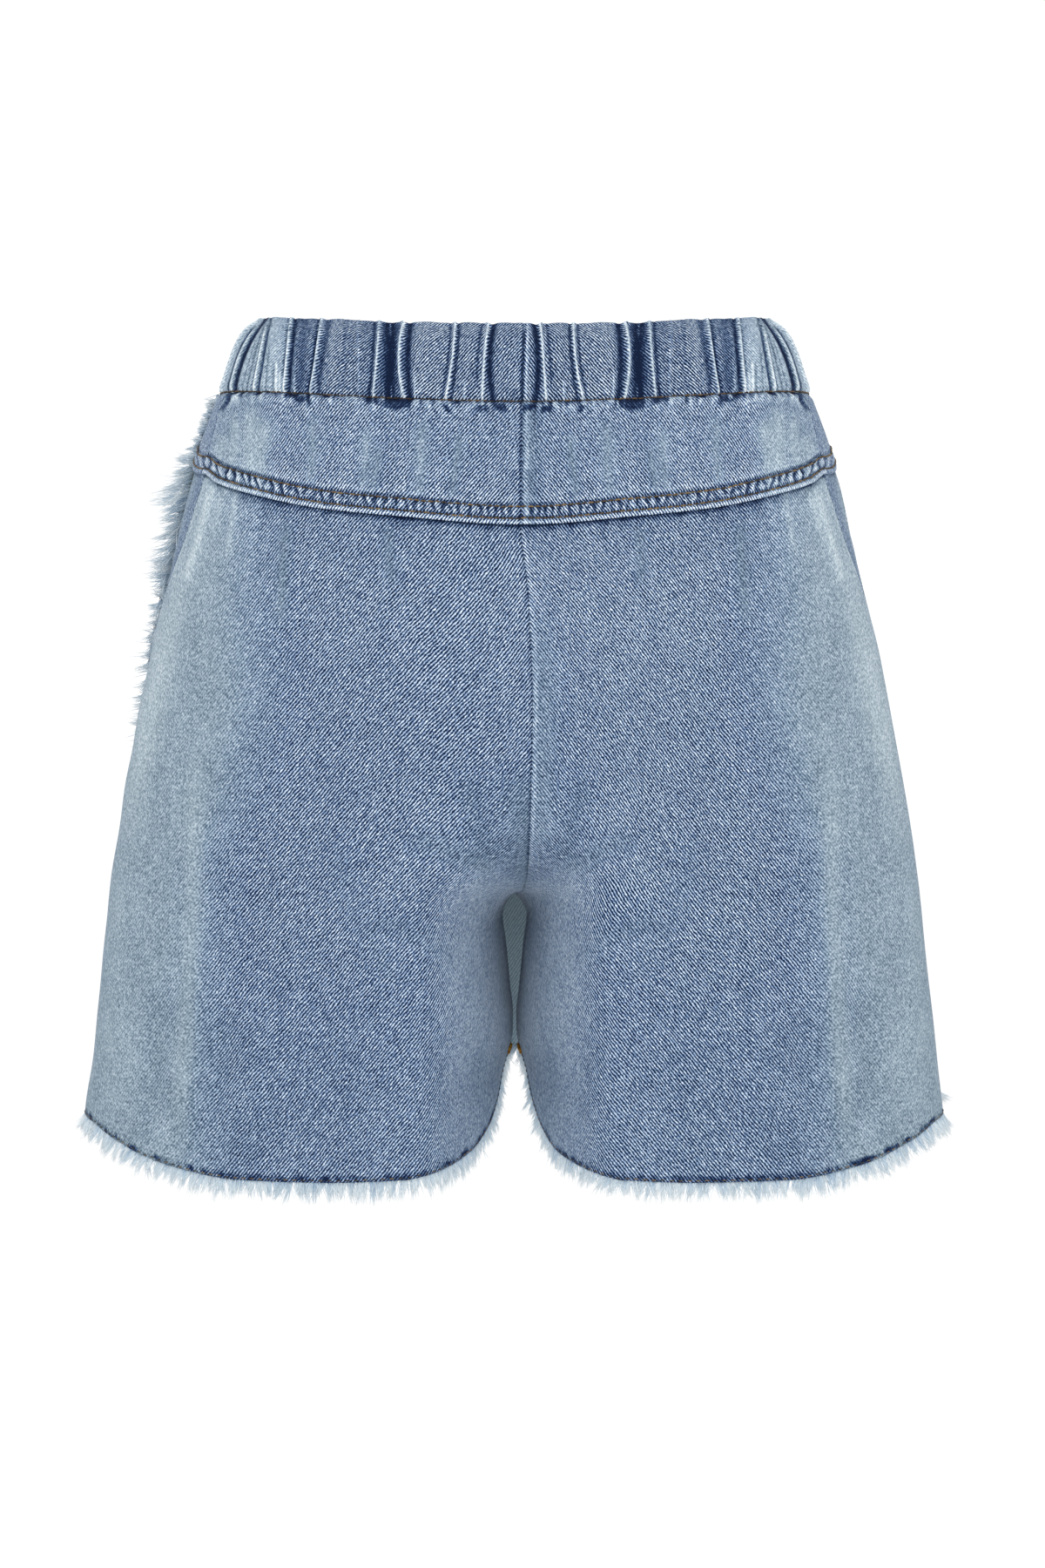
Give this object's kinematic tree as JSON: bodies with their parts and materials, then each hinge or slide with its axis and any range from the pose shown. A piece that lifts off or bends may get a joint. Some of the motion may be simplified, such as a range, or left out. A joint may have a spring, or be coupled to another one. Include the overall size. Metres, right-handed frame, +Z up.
{
  "type": "denim skort",
  "caption": "Hollow worn-form denim shorts with a gathered waistband, a curved back yoke and a frayed wrap flap across the front.",
  "frame": {"origin": "centre of the waist opening, halfway up the waistband at the sides, where the wearer's waist holds the garment", "axes": "+Z up towards the waist opening, -Y towards the wearer's front, +X towards the wearer's left"},
  "size_m": [0.4178, 0.2453, 0.4205],
  "materials": {
    "denim": "light stone-washed blue denim, 3/1 twill, worn pale on raised folds",
    "frayed_edge": "unwoven white and pale blue cotton threads",
    "thread": "brown topstitching thread"
  },
  "bodies": {
    "root": {"waistband": "denim", "yoke_back_left": "denim", "yoke_back_right": "denim", "yoke_front_left": "denim", "yoke_front_right": "denim", "back_left": "denim", "back_right": "denim", "front_left": "denim", "front_right": "denim", "flap": "denim", "fringe_back_left": "frayed_edge", "fringe_back_right": "frayed_edge", "fringe_front_left": "frayed_edge", "fringe_front_right": "frayed_edge", "fringe_flap": "frayed_edge"}
  },
  "joints": []
}
